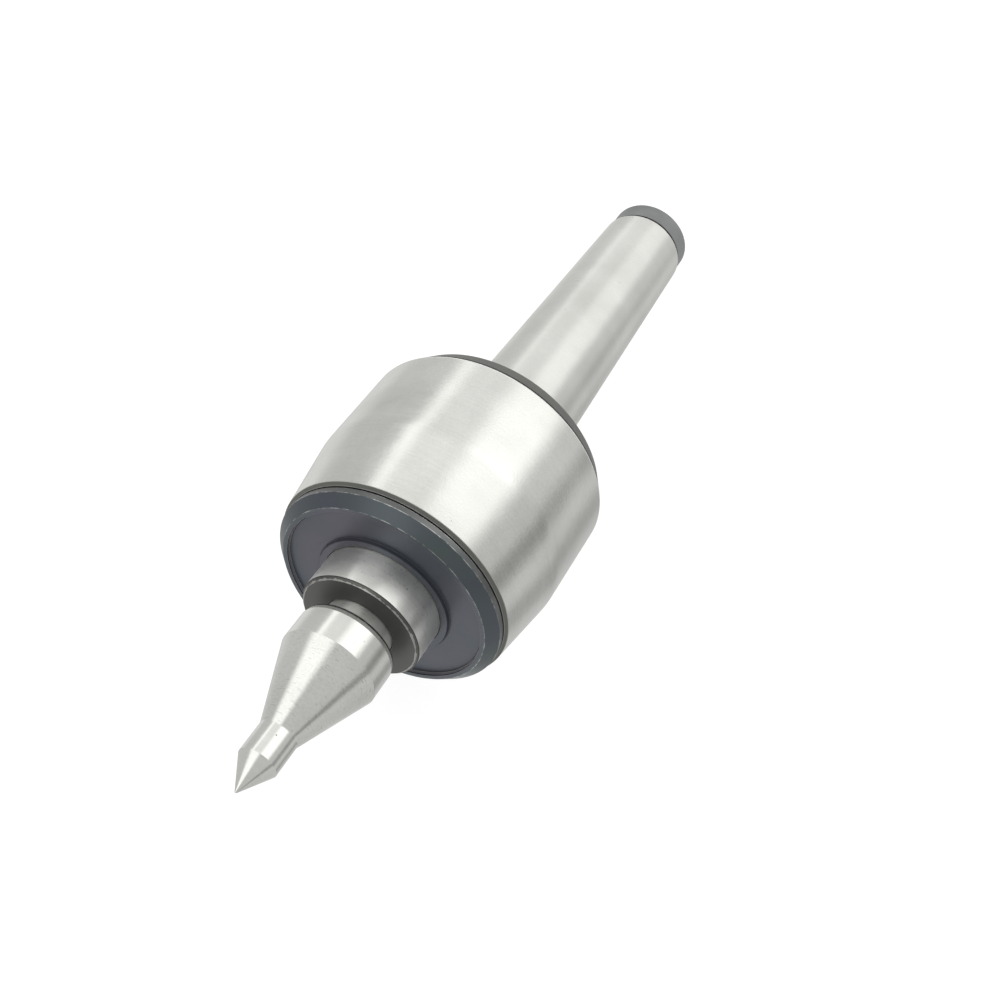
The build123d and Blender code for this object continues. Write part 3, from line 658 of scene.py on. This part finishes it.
def coiled_ring(name, x, pitch, coil, wire, turns, steps=9, around=6):
    """A close-coiled wire spring bent into a ring and joined end to end.

    Along it, u goes once round the axis while the wire goes round the coil: the middle of the wire
    is at (x + coil sin(turns u), r cos u, r sin u), with r = pitch + coil cos(turns u). A point on
    its skin is that middle plus wire (cos v times the way out of the coil + sin v times across it).
    """
    u = np.linspace(0, 2 * pi, turns * steps, endpoint=False)
    outward = np.stack([np.sin(turns * u), np.cos(turns * u) * np.cos(u), np.cos(turns * u) * np.sin(u)], 1)
    middle = np.stack([np.full(len(u), float(x)), pitch * np.cos(u), pitch * np.sin(u)], 1) + coil * outward
    run = np.roll(middle, -1, 0) - np.roll(middle, 1, 0)
    across = np.cross(run, outward)
    across /= np.linalg.norm(across, axis=1)[:, None]
    v = np.linspace(0, 2 * pi, around, endpoint=False)[:, None]
    skin = middle[:, None] + wire * (np.cos(v) * outward[:, None] + np.sin(v) * across[:, None])
    number = np.arange(len(u) * around).reshape(len(u), around)
    after, beside = np.roll(number, -1, 0), np.roll(number, -1, 1)
    quads = np.stack([number, beside, np.roll(after, -1, 1), after], 2).reshape(-1, 4)
    mesh = bpy.data.meshes.new(name)
    mesh.from_pydata((skin.reshape(-1, 3) * mm).tolist(), [], quads.tolist())
    mesh.shade_smooth()
    piece = bpy.data.objects.new(name + "_coiled", mesh)
    bpy.context.scene.collection.objects.link(piece)
    return piece


garter = coiled_ring("seal_garter_spring", lip_x, pitch=18.72, coil=0.43, wire=0.12, turns=380)
garter.data.materials.append(spring_steel)
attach(garter, "housing_body")
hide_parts("seal_garter_spring")

# ---------------------------------------------------------------- Interchangeable point
# Tool steel hardened right through and ground all over: a 1 : 10 shank that wedges in the
# spindle, a head that the removal key lifts, a long slim cone and a 60 degree point.
low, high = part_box("center_point")
shank_rear, tip_end, head_radius = low.x / mm, high.x / mm, high.z / mm
head_rear, head_rear_radius, head_edge, cone_start = 82.0, 12.2, 83.7, 91.2
neck_start, neck_end, neck_radius, tip_radius = 111.6, 119.9, 5.0, 0.35
relief_radius, taper_start = 6.9, 47.5
shank_small = 9.0 - (nose_face - taper_start) * point_slope
shank_large = 9.0 + (head_rear - nose_face) * point_slope
tip_centre = tip_end - tip_radius
tip_touch = tip_centre + tip_radius * sin(radians(30)), tip_radius * cos(radians(30))
SHANK, HEAD, CONE, TIP, RELIEF, NECK_SHADE, CHAMFER = range(7)
tip_arc = [(tip_centre + tip_radius * sin(angle), tip_radius * cos(angle), 0.0, TIP)
           for angle in (radians(45), radians(60), radians(75))]
point_outline = [
    (shank_rear, 0, 0, RELIEF), (shank_rear, relief_radius - 0.5, 0.15, RELIEF),
    (shank_rear + 0.5, relief_radius, 0.15, RELIEF), (taper_start, relief_radius, 0.0, RELIEF),
    (taper_start, shank_small - 0.2, 0.03, SHANK), (taper_start + 0.2, shank_small, 0.1, SHANK),
    (head_rear - 1.6, shank_large - 1.35 * point_slope, 0.0, NECK_SHADE),
    (head_rear - 0.25, shank_large, 0.15, NECK_SHADE),
    (head_rear, shank_large + 0.25, 0.1, NECK_SHADE), (head_rear, head_rear_radius, 0.08, NECK_SHADE),
    (head_rear + 0.6, head_rear_radius + 0.18, 0.0, CHAMFER),
    (head_edge, head_radius, 0.15, HEAD),
    (cone_start, head_radius, 0.5, CONE), (neck_start, neck_radius, 1.5, HEAD),
    (neck_end, neck_radius, 0.4, TIP), (*tip_touch, 0.0, TIP), *tip_arc, (tip_end, 0, 0, TIP),
]
point = turned("live_point", point_outline, closed=False, around=224)
point.data.materials.append(bright_steel(
    "point_shank", roughness=0.4, streak=0.95, scores=0.35, ring_width=0.35, ring_length=5.0,
    ring_depth=0.002, grain_depth=0.008, wave_depth=0.02))
point.data.materials.append(bright_steel(
    "point_head", roughness=0.22, ring_width=0.3, ring_depth=0.002, grain_size=0.6, grain_depth=0.008,
    wave_size=8.0, wave_depth=0.03))
point.data.materials.append(bright_steel(
    "point_cone", roughness=0.22, mottle=0.35, scores=0.18, ring_width=0.45, ring_length=2.2,
    ring_depth=0.006, grain_size=0.6, grain_depth=0.012, wave_size=7.0, wave_depth=0.03))
point.data.materials.append(bright_steel(
    "point_tip", roughness=0.2, pits=0.0, ring_width=0.3, ring_depth=0.002, grain_depth=0.008,
    wave_depth=0.01))
point.data.materials.append(dark_scale(
    "relief_scale", colour=(0.12, 0.12, 0.115), tint=(0.1, 0.1, 0.1), roughness=0.4, ring_depth=0.001))
# Painted shade: a near-black band on the shank just behind the head and on the head's rear face, standing in
# for the shade under the head.
point.data.materials.append(painted_shade)
point.data.materials.append(bright_steel(
    "point_chamfer", light=(0.68, 0.68, 0.65), stained=(0.55, 0.55, 0.52), roughness=0.45, streak=0.0,
    scores=0.4,
    ring_width=0.3, ring_length=4.0, ring_depth=0.006, grain_depth=0.008))
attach(point, "point_body")
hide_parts("center_point")

# ---------------------------------------------------------------- Bench, light and camera
# The tool lies on its barrel on a pale sheet, inside a tent of white cloth. Soft strip lights
# run beside it, parallel to its axis, with darker gaps between them.
bench_reach = 1.5
bench_mesh = bpy.data.meshes.new("bench")
corners = [(x * bench_reach, y * bench_reach, -barrel_radius * mm)
           for x, y in ((-1, -1), (1, -1), (1, 1), (-1, 1))]
bench_mesh.from_pydata(corners, [], [(0, 1, 2, 3)])
bench = bpy.data.objects.new("floor", bench_mesh)
bpy.context.scene.collection.objects.link(bench)
sheet = bpy.data.materials.new("pale_sheet")
sheet.use_nodes = True
tree = sheet.node_tree
tree.nodes.clear()
ray = node(tree, "LightPath")
lit = node(tree, "BsdfDiffuse", {"Color": (0.25, 0.25, 0.25, 1)})[0]
glow = node(tree, "Emission", {"Color": (1, 1, 1, 1), "Strength": 0.88})[0]
white = node(tree, "AddShader", {0: lit, 1: glow})[0]
clear = node(tree, "BsdfTransparent")[0]
shown = node(tree, "MixShader", {0: ray["Is Glossy Ray"], 1: white, 2: clear})[0]
node(tree, "OutputMaterial", {0: shown})
bench_mesh.materials.append(sheet)

world = bpy.data.worlds.new("light_tent")
bpy.context.scene.world = world
world.use_nodes = True
tree = world.node_tree
tree.nodes.clear()
direction = node(tree, "SeparateXYZ", {0: node(tree, "TexCoord")["Generated"]})
angle = maths(tree, "ARCTAN2", direction[2], direction[1])
past_nose = node(tree, "MapRange", {"Value": direction[0], "From Min": -0.45, "From Max": -0.1},
                 interpolation_type="SMOOTHSTEP")[0]
over_tool = maths(tree, "SUBTRACT", 1.0, past_nose)


def strip(glow, zone, centre, half, fade, brightness):
    """Hangs one light on the cloth. It is full within half of its centre and dies out over fade."""
    gap = maths(tree, "ABSOLUTE", maths(tree, "SUBTRACT", angle, radians(centre)))
    band = node(tree, "MapRange", {"Value": gap, "From Min": radians(half + fade), "From Max": radians(half)},
                interpolation_type="SMOOTHSTEP")[0]
    share = maths(tree, "MULTIPLY", band, zone)
    return node(tree, "Mix", {0: share, 2: glow, 3: brightness}, data_type="FLOAT")[0]


# Each strip is (zone, centre, half, fade, brightness), with its angles in degrees round the axis
# from +Y over the top. Those dimmer than the cloth are flags, which draw the dark bands.
tent = node(tree, "Value")[0]
tent.default_value = 0.6
for light in [(over_tool, 90, 30, 20, 0.9), (over_tool, 60, 15, 20, 1.65), (over_tool, 130, 2, 8, 1.4),
              (over_tool, -105, 2, 15, 1.1), (over_tool, -150, 10, 15, 0.8), (over_tool, -50, 5, 15, 0.35),
              (over_tool, -5, 2, 15, 0.25), (past_nose, 115, 15, 20, 1.3), (past_nose, -105, 5, 20, 1.1),
              (past_nose, 0, 2, 10, 0.3)]:
    tent = strip(tent, *light)
# Behind the tool hangs a plain bright cloth, which the tapered shank mirrors.
far_cloth = node(tree, "MapRange",
                 {"Value": direction[0], "From Min": -0.67, "From Max": -0.73, "To Max": 0.9},
                 interpolation_type="SMOOTHSTEP")[0]
tent = node(tree, "Mix", {0: far_cloth, 2: tent, 3: 0.88}, data_type="FLOAT")[0]
lights = node(tree, "Background", {"Color": (1, 1, 1, 1), "Strength": tent})[0]
cloth = node(tree, "Background", {"Color": (1, 1, 1, 1), "Strength": 1.02})[0]
seen = node(tree, "MixShader", {0: node(tree, "LightPath")["Is Camera Ray"], 1: lights, 2: cloth})[0]
node(tree, "OutputWorld", {0: seen})

# The camera stands in front of the tool and to its right, and looks down at it.
camera = bpy.data.objects.new("camera", bpy.data.cameras.new("camera"))
bpy.context.scene.collection.objects.link(camera)
camera.data.lens = 46.85
heading, tilt, roll = radians(112.55), radians(42.49), radians(6.11)
aim = Matrix.Rotation(heading, 4, "Z") @ Matrix.Rotation(tilt, 4, "X") @ Matrix.Rotation(roll, 4, "Z")
camera.matrix_world = Matrix.Translation((0.23666, 0.09899, 0.25233)) @ aim
bpy.context.scene.camera = camera
bpy.context.scene.view_settings.view_transform = "Standard"
